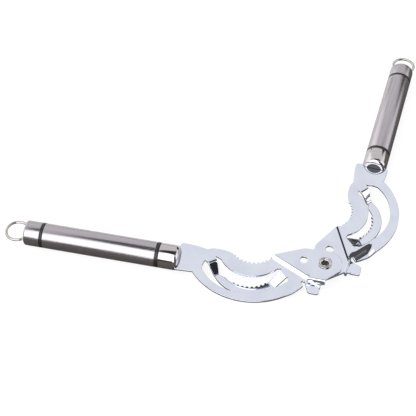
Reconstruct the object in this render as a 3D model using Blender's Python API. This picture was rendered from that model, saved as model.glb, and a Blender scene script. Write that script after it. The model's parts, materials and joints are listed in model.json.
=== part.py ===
"""Plier-type nutcracker: two sheet-steel jaws on one eyelet, two tube handles with hanging loops.

Each arm is designed in its own frame: u runs along the handle, v points to the arm's outer side,
z is up from the surface that the tool lies on, and the pivot axis is at u = v = 0.
All sizes are in millimetres and angles in degrees; MM turns lengths into Blender's metres.
"""
import math

import bmesh
import bpy
from mathutils import Matrix, Vector
from mathutils.geometry import delaunay_2d_cdt

MM = 0.001
SAME_PLACE = 1e-3            # two outline points closer than this are one point
GAP = 0.3                    # clearance between pieces that touch on the real tool
SEGMENTS = 32                # facets around a turned piece
SMALL_SEGMENTS = 16          # facets around a pin, a rod or a wire hole
HIDDEN_SEGMENTS = 24         # facets around a turned piece that the handle hides

# The V at rest
OPEN_ANGLE = 94.9            # between the two handle axes

# Handles
HANDLE_OFFSET = 14.2         # handle axis from the pivot line
TUBE_DIAMETER = 18.0
TUBE_WALL = 0.9
TUBE_LENGTH = 82.0
TUBE_RADIUS = TUBE_DIAMETER / 2
FERRULE_LENGTH = 14.2
NOSE_LENGTH = 3.6            # rounded part of the ferrule
NOSE_FLAT = 5.6              # radius of the flat in front of the rounding
SPIGOT_LENGTH = 15.0         # part of the ferrule that is inside the tube
FRONT_BAND_WIDTH = 2.2
REAR_BAND_WIDTH = 1.8
REAR_BAND_DEPTH = 2.4        # radial
BAND_EASE = 0.3
TUBE_EASE = 0.25
CORE_SETBACK = 1.0           # the tube's rear end stands past its core
CAP_LENGTH = 11.8
CAP_WALL = 1.3
CAP_END_WALL = 1.6
CAP_EASE = 1.4
ROD_DIAMETER = 5.0
ROD_CHAMFER = 0.4
ROD_PAST_NUT = 0.8
PIN_DIAMETER = 3.0
NUT_ACROSS_FLATS = 8.0
NUT_THICKNESS = 4.0
WASHER_THICKNESS = 1.2
LOOP_WIRE = 1.9
LOOP_RADIUS = 8.3            # to the middle of the wire
LOOP_LEG_AIR = 0.55          # between a leg and the cap's wall
LOOP_LEG_SPREAD = TUBE_RADIUS - CAP_WALL - LOOP_LEG_AIR - LOOP_WIRE / 2
LOOP_LEG_DEPTH = 5.5         # how far the legs run into the cap
LOOP_STAND_OFF = 1.0         # straight wire between the cap and the loop

# Sheet-steel jaw plates
SHEET = 1.6                  # sheet thickness
PLATE_LEVEL = TUBE_RADIUS    # middle of the sheet above the table, level with the handle axis
WING_GAP = 0.4               # air between the two wings
RIGHT_WING_RISE = 0.9        # step from the right plate up to its wing
STEP_RUN = 2.2               # how far the step leans
NECK_LENGTH = 15.0           # from the outer shoulder to the end of the plate
PLATE_LIP = 1.4              # plate past the outer side of the handle
PLATE_INNER_MARGIN = 0.5     # plate's inner edge from the line through the pivot

# Tang of the plate, inside the ferrule
SLOT_DEPTH = 2.6             # how far the ferrule's nose covers the end of the plate
TANG_LENGTH = 21.4
TANG_WIDTH = 11.0
PIN_FROM_TANG_END = 3.3
SOCKET_WALL = 1.6            # between the tang's pocket and the rod's socket

# Pivot
EYELET_BORE = 4.4
EYELET_SHANK = 6.6
EYELET_FLANGE = 10.0
ROLLED_FLANGE_LESS = 0.8     # radius that the rolled lower flange lacks to the flared upper one
FLANGE_THICKNESS = 0.8
WASHER_DIAMETER = 11.0
PIVOT_CLEARANCE = 0.05       # radial, so that the arms turn
WING_HOLE_AT = 15.0          # small hole in each wing, from the pivot
WING_HOLE_DIAMETER = 5.8

# Jaw outline
SHOULDER_AT = 88.6           # where the outer arc meets the neck
OUTER_ARC = (52.6, -6.4, 48.1)        # centre u, centre v, radius
TOOTH_ARC = (51.9, -9.4, 18.1)
TOOTH_DEPTH = 1.3
TOOTH_COUNT = 9
CRESCENT_INNER = (52.1, -4.7, 24.4)
CRESCENT_OUTER = (55.5, 0.5, 34.7)
TONGUE_CENTRE = (53.0, 3.2)
TONGUE_INNER = 20.9
TONGUE_OUTER = 26.9
TONGUE_FLAT = (36.2, 137.5)  # angles round the tongue's centre between which it lies flat
LEG_LEVEL_SHARE = 0.3        # part of the handle-side leg that is still level with the plate
TONGUE_TOOTH_DEPTH = 1.2
TONGUE_TOOTH_COUNT = 8
WING_RADIUS = 12.0           # round the pivot
STEP_TIP = (38.2, 0.7)       # foot of the step, at the jaw's mouth
STEP_FOOT = (12.0, 14.3)     # foot of the step, at the slit beside the tab
TAB_SIDE = -2.3              # end of the folded edge on the far side of the pivot
TAB_FOLD_AT = 14.3           # wing edge where the flange starts, from the pivot line
TAB_FLANGE_RUN = 1.5
TAB_DROP = 3.0
TAB_TIP_AT = 24.8
SLIT_POINT = (13.3, 16.3)    # closed end of the slit between the tab and the outer strip
STRIP_TURN = (34.0, 28.7)    # where the outer strip starts to turn down
STRIP_CREASE_END = (23.0, 31.9)
STRIP_EDGE_END = (18.0, 16.7)
STRIP_RUN = 6.0              # width of the strip's slope
STRIP_DROP = {"left": 0.8, "right": 2.6}

SIDES = {"left": 1.0, "right": -1.0}


# ---------------------------------------------------------------- scene and materials

def clear_scene():
    for item in list(bpy.data.objects):
        bpy.data.objects.remove(item, do_unlink=True)


def material(name, colour, metallic, roughness):
    made = bpy.data.materials.new(name)
    made.use_nodes = True
    shader = made.node_tree.nodes["Principled BSDF"]
    shader.inputs["Base Color"].default_value = (*colour, 1.0)
    shader.inputs["Metallic"].default_value = metallic
    shader.inputs["Roughness"].default_value = roughness
    made.diffuse_color = (*colour, 1.0)
    return made


def make_materials():
    return {
        "jaw_steel": material("jaw_steel", (0.66, 0.68, 0.72), 1.0, 0.12),
        "brushed_steel": material("brushed_steel", (0.55, 0.53, 0.53), 1.0, 0.32),
        "polished_steel": material("polished_steel", (0.62, 0.62, 0.63), 1.0, 0.10),
        "wire_steel": material("wire_steel", (0.60, 0.60, 0.61), 1.0, 0.16),
        "black_rubber": material("black_rubber", (0.012, 0.011, 0.010), 0.0, 0.42),
        "zinc_steel": material("zinc_steel", (0.48, 0.48, 0.47), 1.0, 0.35),
        "core_plastic": material("core_plastic", (0.04, 0.04, 0.04), 0.0, 0.55),
    }


# ---------------------------------------------------------------- outlines in the arm's frame

def arc(circle, start, end, count):
    """Points on a circle (centre u, centre v, radius) from one angle to another."""
    cu, cv, radius = circle
    points = []
    for index in range(count + 1):
        angle = math.radians(start + (end - start) * index / count)
        points.append((cu + radius * math.cos(angle), cv + radius * math.sin(angle)))
    return points


def angle_on(circle, point):
    """Angle of the ray from a circle's centre to a point."""
    return math.degrees(math.atan2(point[1] - circle[1], point[0] - circle[0]))


def toothed_arc(circle, start, end, count, depth):
    """An arc cut into teeth whose tips point to the circle's centre."""
    cu, cv, radius = circle
    tip = (cu, cv, radius - depth)
    pitch = (end - start) / count
    points = []
    for index in range(count):
        foot = start + pitch * index
        points += arc(circle, foot, foot + 0.30 * pitch, 1)
        points += arc(tip, foot + 0.52 * pitch, foot + 0.80 * pitch, 1)
    points.append(arc(circle, end, end, 1)[0])
    return points


def circle_points(centre, radius, count):
    return [(centre[0] + radius * math.cos(2 * math.pi * index / count),
             centre[1] + radius * math.sin(2 * math.pi * index / count)) for index in range(count)]


def along_line(start, end, fraction):
    return (start[0] + (end[0] - start[0]) * fraction, start[1] + (end[1] - start[1]) * fraction)


def distance_past(line, point):
    """Signed distance of a point from a line, positive to the left of its direction."""
    (au, av), (bu, bv) = line
    length = math.hypot(bu - au, bv - av)
    return ((bu - au) * (point[1] - av) - (bv - av) * (point[0] - au)) / length


def jaw_outline():
    """Outer edge of a flattened jaw plate, counter-clockwise, with its tang."""
    stations = handle_stations()
    plate_end, tang_end = stations["tang"]
    tang_inner = HANDLE_OFFSET - TANG_WIDTH / 2
    tang_outer = HANDLE_OFFSET + TANG_WIDTH / 2
    lip = HANDLE_OFFSET + TUBE_RADIUS + PLATE_LIP
    handle_edge = [
        (plate_end, lip - 2.0), (plate_end - 0.7, lip - 0.6), (plate_end - 2.0, lip),
        (plate_end - 6.1, lip - 0.2), (SHOULDER_AT + 1.4, lip - 0.7),
    ]
    shoulder = (SHOULDER_AT, lip - 1.0)
    strip_end = (11.2, 20.3)
    outer = arc(OUTER_ARC, angle_on(OUTER_ARC, shoulder), angle_on(OUTER_ARC, strip_end), 30)
    slit = [(14.4, 16.9), SLIT_POINT]
    flange_end = TAB_FOLD_AT + TAB_FLANGE_RUN
    tab = [
        (11.6, flange_end + 0.5), (8.6, TAB_TIP_AT - 1.0), (7.4, TAB_TIP_AT), (1.8, TAB_TIP_AT),
        (1.0, TAB_TIP_AT - 0.8), (0.6, flange_end + 0.9), (-0.4, flange_end),
        (TAB_SIDE, flange_end), (TAB_SIDE, TAB_FOLD_AT),
    ]
    wing = [(-10.9, 5.0)]
    wing += arc((0.0, 0.0, WING_RADIUS), 158.0, 250.0, 8)
    wing += [(8.0, -10.9), (15.4, -10.6), (17.2, -10.0), (37.0, -0.2), STEP_TIP]
    teeth_end = (38.6, 3.4)
    teeth_start = (64.4, 3.4)
    teeth = toothed_arc(TOOTH_ARC, angle_on(TOOTH_ARC, teeth_end), angle_on(TOOTH_ARC, teeth_start),
                        TOOTH_COUNT, TOOTH_DEPTH)
    margin = PLATE_INNER_MARGIN
    inner_edge = [
        (65.6, margin + 1.8), (68.6, margin + 0.7), (72.4, margin + 0.1), (76.4, margin),
        (80.0, margin + 0.4), (82.2, margin + 1.4), (84.0, margin + 1.9), (86.4, margin + 1.4),
        (SHOULDER_AT + 2.4, margin + 0.5), (plate_end - 7.6, margin + 0.1),
        (plate_end - 3.0, margin), (plate_end - 1.4, margin + 0.4), (plate_end - 0.6, margin + 1.7),
        (plate_end, margin + 4.9),
    ]
    tang = [
        (plate_end, tang_inner), (tang_end, tang_inner), (tang_end, tang_outer),
        (plate_end, tang_outer),
    ]
    return handle_edge + outer + slit + tab + wing + teeth + inner_edge + tang


def crescent_sides():
    """The crescent window's inner arc, handle end, outer arc and pivot end, in order round it."""
    inner = arc(CRESCENT_INNER, 145.5, 34.5, 18)
    handle_end = [(76.6, 6.9), (80.4, 8.6), (83.2, 12.2), (84.3, 16.6)]
    outer = arc(CRESCENT_OUTER, 35.5, 122.0, 18)
    pivot_end = [(31.4, 26.0), (25.6, 21.4), (22.7, 18.2), (23.7, 14.2), (28.6, 8.4)]
    return inner, handle_end, outer, pivot_end


def crescent_outline():
    """The whole crescent window, before its tongue is drawn."""
    inner, handle_end, outer, pivot_end = crescent_sides()
    return inner + handle_end + outer + pivot_end


def tongue_sides():
    """The two edges of the lowered tongue and its legs, each from the handle end to the pivot end."""
    centre = TONGUE_CENTRE
    root = (centre[0], centre[1], TONGUE_INNER)
    smooth = [(72.0, 16.9)] + arc(root, 46.0, 62.0, 4)
    teeth = toothed_arc(root, 62.0, 137.0, TONGUE_TOOTH_COUNT, TONGUE_TOOTH_DEPTH)
    inner_side = smooth[:-1] + teeth
    outer_side = arc((centre[0], centre[1], TONGUE_OUTER), 35.9, 139.0, 18)
    return inner_side, outer_side


def crescent_holes():
    """Two slots that free the tongue from the plate: along its inner and its outer side."""
    inner_arc, handle_end, outer_arc, pivot_end = crescent_sides()
    inner_side, outer_side = tongue_sides()
    slot_inner = inner_arc + handle_end[:1] + inner_side + pivot_end[-1:]
    slot_outer = handle_end[2:] + outer_arc + pivot_end[:-1] + outer_side[::-1]
    return [slot_inner, slot_outer]


def leg_lines():
    """For each leg: where its slope starts on the plate and where it ends on the tongue."""
    inner_side, outer_side = tongue_sides()
    _, window_handle_end, _, window_pivot_end = crescent_sides()
    handle_start = (window_handle_end[0], window_handle_end[2])
    handle_end = (inner_side[0], outer_side[0])
    pivot_start = (window_pivot_end[-1], window_pivot_end[-2])
    pivot_end = (inner_side[-1], outer_side[-1])
    return (handle_start, handle_end), (pivot_start, pivot_end)


def inside(point, polygon):
    """Even-odd test of a point against a closed outline."""
    u, v = point
    hit = False
    previous = polygon[-1]
    for current in polygon:
        if (current[1] > v) != (previous[1] > v):
            crossing = (previous[0] - current[0]) * (v - current[1]) / (previous[1] - current[1])
            if u < current[0] + crossing:
                hit = not hit
        previous = current
    return hit


def clamp(value):
    return max(0.0, min(1.0, value))


def leg_fraction(point, start, end):
    """0 on a leg's upper crease, 1 on its lower crease."""
    down_past_start = abs(distance_past(start, point))
    up_from_end = abs(distance_past(end, point))
    return clamp(down_past_start / (down_past_start + up_from_end))


def tongue_height(point):
    """Middle of the sheet on the tongue and its two sloping legs."""
    low = SHEET / 2
    (handle_start, handle_end), (pivot_start, pivot_end) = leg_lines()
    around = angle_on(TONGUE_CENTRE, point)
    if around < TONGUE_FLAT[0]:
        along = leg_fraction(point, handle_start, handle_end)
        fraction = clamp((along - LEG_LEVEL_SHARE) / (1 - LEG_LEVEL_SHARE))
    elif around > TONGUE_FLAT[1]:
        fraction = leg_fraction(point, pivot_start, pivot_end)
    else:
        fraction = 1.0
    return PLATE_LEVEL + (low - PLATE_LEVEL) * fraction


def wing_rise(side):
    if side == "left":
        return RIGHT_WING_RISE + SHEET + WING_GAP
    return RIGHT_WING_RISE


def plate_height(point, side):
    """Middle of the sheet on the plate, step, wing, flange, tab and outer strip."""
    past_step = distance_past((STEP_TIP, STEP_FOOT), point)
    on_wing_side = past_step > 0.0 and point[0] < STEP_TIP[0] + 0.1
    outside_slit = point[0] > SLIT_POINT[0] - 0.7 and point[1] > SLIT_POINT[1] - 0.4
    if on_wing_side and not outside_slit:
        height = PLATE_LEVEL + wing_rise(side) * clamp(past_step / STEP_RUN)
        return height - TAB_DROP * clamp((point[1] - TAB_FOLD_AT) / TAB_FLANGE_RUN)
    past_crease = distance_past((STRIP_TURN, STRIP_CREASE_END), point)
    past_edge = distance_past((STRIP_EDGE_END, STRIP_TURN), point)
    if past_crease > 0.0 and past_edge > 0.0 and point[0] < STRIP_TURN[0]:
        slope = clamp(past_crease / STRIP_RUN) * clamp(past_edge / STRIP_RUN)
        return PLATE_LEVEL - STRIP_DROP[side] * slope
    return PLATE_LEVEL


def fold_lines():
    """Creases that the triangles follow, as pairs of points."""
    (handle_start, handle_end), (pivot_start, pivot_end) = leg_lines()
    along = Vector(STEP_FOOT) - Vector(STEP_TIP)
    length = along.length
    along.normalize()
    towards_pivot = Vector((-along.y, along.x)) * STEP_RUN
    top_tip = Vector(STEP_TIP) + towards_pivot
    top_foot = Vector(STEP_FOOT) + towards_pivot
    flange_end = TAB_FOLD_AT + TAB_FLANGE_RUN
    handle_bend = [along_line(start, end, LEG_LEVEL_SHARE) for start, end in zip(handle_start, handle_end)]
    return [
        handle_start, handle_bend, handle_end, pivot_start, pivot_end,
        (STEP_TIP, along_line(STEP_TIP, STEP_FOOT, 1.0 - 1.0 / length)), (top_tip, top_foot),
        ((TAB_SIDE, TAB_FOLD_AT), (STEP_FOOT[0] + 0.6, TAB_FOLD_AT)),
        ((TAB_SIDE, flange_end), (STEP_FOOT[0], flange_end)),
    ]


def relief_points():
    """Extra points that carry the pressed shape of the outer strip."""
    points = []
    rows = 7
    for row in range(rows):
        base = along_line(STRIP_TURN, STRIP_EDGE_END, row / (rows - 0.5))
        for column in range(5):
            offset = 1.2 + 2.1 * column
            points.append((base[0] - 0.6 * offset, base[1] + 0.8 * offset))
    for step in range(1, 5):
        points.append(along_line(STRIP_TURN, STRIP_EDGE_END, step / 5))
    return points


# ---------------------------------------------------------------- mesh builders

def finish_object(name, mesh, finish, parent, smooth_angle=None):
    mesh.materials.append(finish)
    if smooth_angle is not None:
        mesh.shade_smooth()
        mesh.set_sharp_from_angle(angle=math.radians(smooth_angle))
    made = bpy.data.objects.new(name, mesh)
    bpy.context.scene.collection.objects.link(made)
    made.parent = parent
    return made


def sheet_piece(name, side, outline, holes, folds, extra, height, finish, parent):
    """A pressed sheet: a flat outline, triangulated along its folds and lifted by a height rule."""
    coords = []
    edges = []
    for loop in [outline] + holes:
        first = len(coords)
        coords += [Vector(point) for point in loop]
        edges += [(first + index, first + (index + 1) % len(loop)) for index in range(len(loop))]
    for start, end in folds:
        coords += [Vector(start), Vector(end)]
        edges.append((len(coords) - 2, len(coords) - 1))
    clear = [point for point in extra if inside(point, outline)
             and not any(inside(point, hole) for hole in holes)]
    coords += [Vector(point) for point in clear]
    flat, _, faces, _, _, _ = delaunay_2d_cdt(coords, edges, [], 0, 1e-4)

    kept = []
    for face in faces:
        centre = (sum(flat[i].x for i in face) / len(face), sum(flat[i].y for i in face) / len(face))
        if inside(centre, outline) and not any(inside(centre, hole) for hole in holes):
            kept.append(face)

    mirror = SIDES[side]
    shape = bmesh.new()
    top = {}
    bottom = {}
    for index in sorted({i for face in kept for i in face}):
        point = (flat[index].x, flat[index].y)
        level = height(point)
        place = (point[0] * MM, mirror * point[1] * MM)
        top[index] = shape.verts.new((*place, (level + SHEET / 2) * MM))
        bottom[index] = shape.verts.new((*place, (level - SHEET / 2) * MM))
    used = {}
    for face in kept:
        shape.faces.new([top[i] for i in face])
        shape.faces.new([bottom[i] for i in reversed(face)])
        for index, start in enumerate(face):
            used[(start, face[(index + 1) % len(face)])] = True
    for start, end in used:
        if (end, start) not in used:
            shape.faces.new([top[end], top[start], bottom[start], bottom[end]])
    if mirror < 0:
        bmesh.ops.reverse_faces(shape, faces=shape.faces)
    mesh = bpy.data.meshes.new(name)
    shape.to_mesh(mesh)
    shape.free()
    return finish_object(name, mesh, finish, parent)


def turned(name, profile, finish, parent, place, axis="X", segments=SEGMENTS):
    """A closed profile of (position along the axis, radius) turned once round that axis.

    Where the profile touches the axis, the ring before it and the ring after it get flat ends.
    """
    shape = bmesh.new()
    rings = []
    for along, radius in profile:
        if radius == 0.0:
            rings.append(None)
            continue
        ring = []
        for index in range(segments):
            angle = 2 * math.pi * index / segments - math.pi / 2
            ring.append(shape.verts.new((along * MM, radius * MM * math.cos(angle),
                                         radius * MM * math.sin(angle))))
        rings.append(ring)
    for index, first in enumerate(rings):
        second = rings[(index + 1) % len(rings)]
        if first and second:
            for step in range(segments):
                following = (step + 1) % segments
                shape.faces.new([first[step], first[following], second[following], second[step]])
        elif first or second:
            shape.faces.new(first or second)
    bmesh.ops.recalc_face_normals(shape, faces=shape.faces)
    if axis == "Z":
        bmesh.ops.rotate(shape, verts=shape.verts, matrix=Matrix.Rotation(-math.pi / 2, 3, "Y"))
    mesh = bpy.data.meshes.new(name)
    shape.to_mesh(mesh)
    shape.free()
    made = finish_object(name, mesh, finish, parent, smooth_angle=35)
    made.location = [value * MM for value in place]
    return made


def cutter(name, size, place, parent):
    """A box that cuts its neighbour and is left out of the model."""
    shape = bmesh.new()
    bmesh.ops.create_cube(shape, size=1.0)
    for vert in shape.verts:
        vert.co = Vector([vert.co[axis] * size[axis] * MM for axis in range(3)])
    mesh = bpy.data.meshes.new(name)
    shape.to_mesh(mesh)
    shape.free()
    made = bpy.data.objects.new(name, mesh)
    bpy.context.scene.collection.objects.link(made)
    made.parent = parent
    made.location = [value * MM for value in place]
    made.hide_render = True
    made.display_type = "WIRE"
    return made


def drill(name, radius, reach, axis, place, finish, parent):
    """A round cutter that reaches the same distance both ways from its place."""
    profile = [(-reach, 0.0), (-reach, radius), (reach, radius), (reach, 0.0)]
    made = turned(name, profile, finish, parent, place, axis=axis, segments=SMALL_SEGMENTS)
    made.hide_render = True
    made.display_type = "WIRE"
    return made


def cut(target, tool):
    step = target.modifiers.new("cut_" + tool.name, "BOOLEAN")
    step.operation = "DIFFERENCE"
    step.solver = "EXACT"
    step.object = tool


# ---------------------------------------------------------------- positions along a handle

def handle_stations():
    """Where each handle piece starts and ends along u."""
    plate_end = SHOULDER_AT + NECK_LENGTH
    stations = {"tang": (plate_end, plate_end + TANG_LENGTH)}
    stations["pin"] = plate_end + TANG_LENGTH - PIN_FROM_TANG_END
    at = plate_end - SLOT_DEPTH
    stations["ferrule"] = (at, at + FERRULE_LENGTH)
    at += FERRULE_LENGTH + GAP
    stations["front_band"] = (at, at + FRONT_BAND_WIDTH)
    at += FRONT_BAND_WIDTH + GAP
    stations["tube"] = (at, at + TUBE_LENGTH)
    at += TUBE_LENGTH + GAP
    stations["rear_band"] = (at, at + REAR_BAND_WIDTH)
    at += REAR_BAND_WIDTH + GAP
    stations["cap"] = (at, at + CAP_LENGTH)
    return stations


def on_handle_axis(side, along=0.0, aside=0.0):
    """A place on an arm's handle axis, or beside it, in the arm's frame."""
    return (along, SIDES[side] * HANDLE_OFFSET + aside, TUBE_RADIUS)


# ---------------------------------------------------------------- pieces

def jaw_plate(side, finish, arm):
    holes = crescent_holes()
    holes.append(circle_points((0.0, 0.0), EYELET_SHANK / 2 + PIVOT_CLEARANCE, 32)[::-1])
    holes.append(circle_points((WING_HOLE_AT, 0.0), WING_HOLE_DIAMETER / 2, 24)[::-1])
    pin_at = (handle_stations()["pin"], HANDLE_OFFSET)
    holes.append(circle_points(pin_at, PIN_DIAMETER / 2 + GAP, SMALL_SEGMENTS)[::-1])
    window = crescent_outline()
    (handle_start, _), (pivot_start, _) = leg_lines()

    def height(point):
        on_start = min(abs(distance_past(handle_start, point)),
                       abs(distance_past(pivot_start, point))) < SAME_PLACE
        if not on_start and in_tongue(point, window):
            return tongue_height(point)
        return plate_height(point, side)

    return sheet_piece(side + "_jaw_plate", side, jaw_outline(), holes, fold_lines(),
                       relief_points(), height, finish, arm)


def in_tongue(point, window):
    """Whether a point belongs to the tongue or its legs, and not to the plate round the window."""
    inner_side, outer_side = tongue_sides()
    for edge in inner_side + outer_side:
        if math.dist(point, edge) < SAME_PLACE:
            return True
    for edge in window:
        if math.dist(point, edge) < SAME_PLACE:
            return False
    return inside(point, window)


def ferrule(side, finish, arm):
    """Polished front end: rounded nose with a slot for the plate, and a spigot inside the tube."""
    stations = handle_stations()
    front, back = stations["ferrule"]
    profile = [(front, 0.0), (front, NOSE_FLAT)]
    for index in range(1, 9):
        angle = math.radians(90.0 * index / 8)
        profile.append((front + NOSE_LENGTH * (1 - math.cos(angle)),
                        NOSE_FLAT + (TUBE_RADIUS - NOSE_FLAT) * math.sin(angle)))
    spigot_radius = TUBE_RADIUS - TUBE_WALL - GAP
    spigot_end = back + SPIGOT_LENGTH
    plate_end, tang_end = stations["tang"]
    socket = ROD_DIAMETER / 2 + GAP
    socket_floor = tang_end + SOCKET_WALL
    profile += [(back, TUBE_RADIUS), (back, spigot_radius), (spigot_end, spigot_radius),
                (spigot_end, socket), (socket_floor, socket), (socket_floor, 0.0)]
    made = turned(side + "_front_ferrule", profile, finish, arm, on_handle_axis(side))
    slot_thickness = SHEET + 2 * GAP
    slot_reach = plate_end + GAP - front
    cut(made, cutter(side + "_slot_cutter", (2 * slot_reach, 2 * TUBE_DIAMETER, slot_thickness),
                     on_handle_axis(side, front), arm))
    pocket_end = tang_end + GAP
    pocket_start = front - 1.0
    cut(made, cutter(side + "_pocket_cutter",
                     (pocket_end - pocket_start, TANG_WIDTH + 2 * GAP, slot_thickness),
                     on_handle_axis(side, (pocket_end + pocket_start) / 2), arm))
    cut(made, drill(side + "_pin_hole_cutter", PIN_DIAMETER / 2 + GAP, TUBE_DIAMETER, "Z",
                    on_handle_axis(side, stations["pin"]), finish, arm))
    return made


def tang_pin(side, finish, arm):
    half = TUBE_RADIUS - TUBE_WALL - 2 * GAP - 0.4
    radius = PIN_DIAMETER / 2
    profile = [(-half, 0.0), (-half, radius), (half, radius), (half, 0.0)]
    return turned(side + "_tang_pin", profile, finish, arm,
                  on_handle_axis(side, handle_stations()["pin"]),
                  axis="Z", segments=SMALL_SEGMENTS)


def ring_profile(start, end, outer, inner, soft=0.0):
    """A ring's closed profile, with its outer corners eased by a soft radius."""
    if soft <= 0.0:
        return [(start, inner), (start, outer), (end, outer), (end, inner)]
    return [(start, inner), (start, outer - soft), (start + soft, outer), (end - soft, outer),
            (end, outer - soft), (end, inner)]


def band(side, which, finish, arm):
    """Black ring between the tube and its end piece, flush with both."""
    start, end = handle_stations()[which + "_band"]
    depth = TUBE_WALL if which == "front" else REAR_BAND_DEPTH
    profile = ring_profile(start, end, TUBE_RADIUS, TUBE_RADIUS - depth, soft=BAND_EASE)
    return turned(side + "_" + which + "_band", profile, finish, arm, on_handle_axis(side))


def handle_tube(side, finish, arm):
    start, end = handle_stations()["tube"]
    profile = ring_profile(start, end, TUBE_RADIUS, TUBE_RADIUS - TUBE_WALL, soft=TUBE_EASE)
    return turned(side + "_handle_tube", profile, finish, arm, on_handle_axis(side))


def handle_core(side, finish, arm):
    """Plastic filler between the ferrule's spigot and the tube's rear end, bored for the rod."""
    stations = handle_stations()
    start = stations["ferrule"][1] + SPIGOT_LENGTH + GAP
    end = stations["tube"][1] - CORE_SETBACK
    outer = TUBE_RADIUS - TUBE_WALL - GAP
    profile = ring_profile(start, end, outer, ROD_DIAMETER / 2 + GAP)
    return turned(side + "_handle_core", profile, finish, arm, on_handle_axis(side),
                  segments=HIDDEN_SEGMENTS)


def rod_nut_station():
    """Where the washer and the nut on the rod's rear end start and end."""
    washer_start = handle_stations()["rear_band"][1] + GAP
    washer_end = washer_start + WASHER_THICKNESS
    nut_start = washer_end + GAP
    return washer_start, washer_end, nut_start, nut_start + NUT_THICKNESS


def tie_rod(side, finish, arm):
    """Rod that pulls the handle together: from the ferrule's socket to the nut under the cap."""
    start = handle_stations()["tang"][1] + SOCKET_WALL + GAP
    end = rod_nut_station()[3] + ROD_PAST_NUT
    radius = ROD_DIAMETER / 2
    neck = radius - ROD_CHAMFER
    profile = [(start, 0.0), (start, neck), (start + ROD_CHAMFER, radius),
               (end - ROD_CHAMFER, radius), (end, neck), (end, 0.0)]
    return turned(side + "_tie_rod", profile, finish, arm, on_handle_axis(side),
                  segments=SMALL_SEGMENTS)


def rod_washer(side, finish, arm):
    start, end, _, _ = rod_nut_station()
    outer = TUBE_RADIUS - CAP_WALL - GAP
    hole = ROD_DIAMETER / 2 + GAP
    return turned(side + "_rod_washer", ring_profile(start, end, outer, hole), finish, arm,
                  on_handle_axis(side), segments=HIDDEN_SEGMENTS)


def hexagon_reach(angle):
    """Distance from a nut's axis to its hexagon side in a direction."""
    from_flat = (angle + math.pi / 6) % (math.pi / 3) - math.pi / 6
    return NUT_ACROSS_FLATS / 2 / math.cos(from_flat)


def rod_nut(side, finish, arm):
    """Hexagon nut on the rod's end."""
    _, _, start, end = rod_nut_station()
    bore = ROD_DIAMETER / 2 + GAP
    shape = bmesh.new()
    rings = []
    for along, hexagonal in ((start, True), (end, True), (end, False), (start, False)):
        ring = []
        for index in range(HIDDEN_SEGMENTS):
            angle = 2 * math.pi * index / HIDDEN_SEGMENTS
            reach = hexagon_reach(angle) if hexagonal else bore
            ring.append(shape.verts.new((along * MM, reach * math.cos(angle) * MM,
                                         reach * math.sin(angle) * MM)))
        rings.append(ring)
    for number, first in enumerate(rings):
        second = rings[(number + 1) % len(rings)]
        for index in range(HIDDEN_SEGMENTS):
            following = (index + 1) % HIDDEN_SEGMENTS
            shape.faces.new([first[index], first[following], second[following], second[index]])
    bmesh.ops.recalc_face_normals(shape, faces=shape.faces)
    mesh = bpy.data.meshes.new(side + "_rod_nut")
    shape.to_mesh(mesh)
    shape.free()
    made = finish_object(side + "_rod_nut", mesh, finish, arm)
    made.location = [value * MM for value in on_handle_axis(side)]
    return made


def rear_cap(side, finish, arm):
    """Cup-shaped end cap with two holes in its end for the hanging loop."""
    start, end = handle_stations()["cap"]
    inner = TUBE_RADIUS - CAP_WALL
    profile = [(start, inner), (start, TUBE_RADIUS - TUBE_EASE), (start + TUBE_EASE, TUBE_RADIUS),
               (end - CAP_EASE, TUBE_RADIUS)]
    for index in range(1, 5):
        angle = math.radians(90.0 * index / 4)
        profile.append((end - CAP_EASE + CAP_EASE * math.sin(angle),
                        TUBE_RADIUS - CAP_EASE + CAP_EASE * math.cos(angle)))
    profile += [(end, 0.0), (end - CAP_END_WALL, 0.0), (end - CAP_END_WALL, inner)]
    made = turned(side + "_rear_cap", profile, finish, arm, on_handle_axis(side))
    for index, spread in enumerate((-LOOP_LEG_SPREAD, LOOP_LEG_SPREAD)):
        cut(made, drill(side + "_loop_hole_cutter_" + str(index), LOOP_WIRE / 2 + GAP,
                        2 * CAP_END_WALL, "X", on_handle_axis(side, end, spread), finish, arm))
    return made


def hanging_loop(side, finish, arm):
    """Round wire bent into an almost closed loop, with two legs that run into the cap."""
    cap_end = handle_stations()["cap"][1]
    back = math.sqrt(LOOP_RADIUS ** 2 - LOOP_LEG_SPREAD ** 2)
    centre = cap_end + LOOP_STAND_OFF + back
    opening = math.atan2(LOOP_LEG_SPREAD, -back)
    points = [(cap_end - LOOP_LEG_DEPTH, LOOP_LEG_SPREAD), (cap_end - 0.4, LOOP_LEG_SPREAD)]
    steps = 28
    for index in range(steps + 1):
        angle = opening - 2 * opening * index / steps
        points.append((centre + LOOP_RADIUS * math.cos(angle), LOOP_RADIUS * math.sin(angle)))
    points += [(cap_end - 0.4, -LOOP_LEG_SPREAD), (cap_end - LOOP_LEG_DEPTH, -LOOP_LEG_SPREAD)]
    curve = bpy.data.curves.new(side + "_hanging_loop", "CURVE")
    curve.dimensions = "3D"
    curve.bevel_depth = LOOP_WIRE / 2 * MM
    curve.bevel_resolution = 3
    curve.use_fill_caps = True
    spline = curve.splines.new("POLY")
    spline.points.add(len(points) - 1)
    for target, (along, across) in zip(spline.points, points):
        target.co = (along * MM, across * MM, 0.0, 1.0)
    curve.materials.append(finish)
    made = bpy.data.objects.new(side + "_hanging_loop", curve)
    bpy.context.scene.collection.objects.link(made)
    made.parent = arm
    made.location = [value * MM for value in on_handle_axis(side)]
    return made


def pivot_levels():
    """Heights of the two wings' faces and of the washer under them."""
    right_bottom = PLATE_LEVEL + RIGHT_WING_RISE - SHEET / 2
    left_top = PLATE_LEVEL + wing_rise("left") + SHEET / 2
    return right_bottom, left_top


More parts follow.
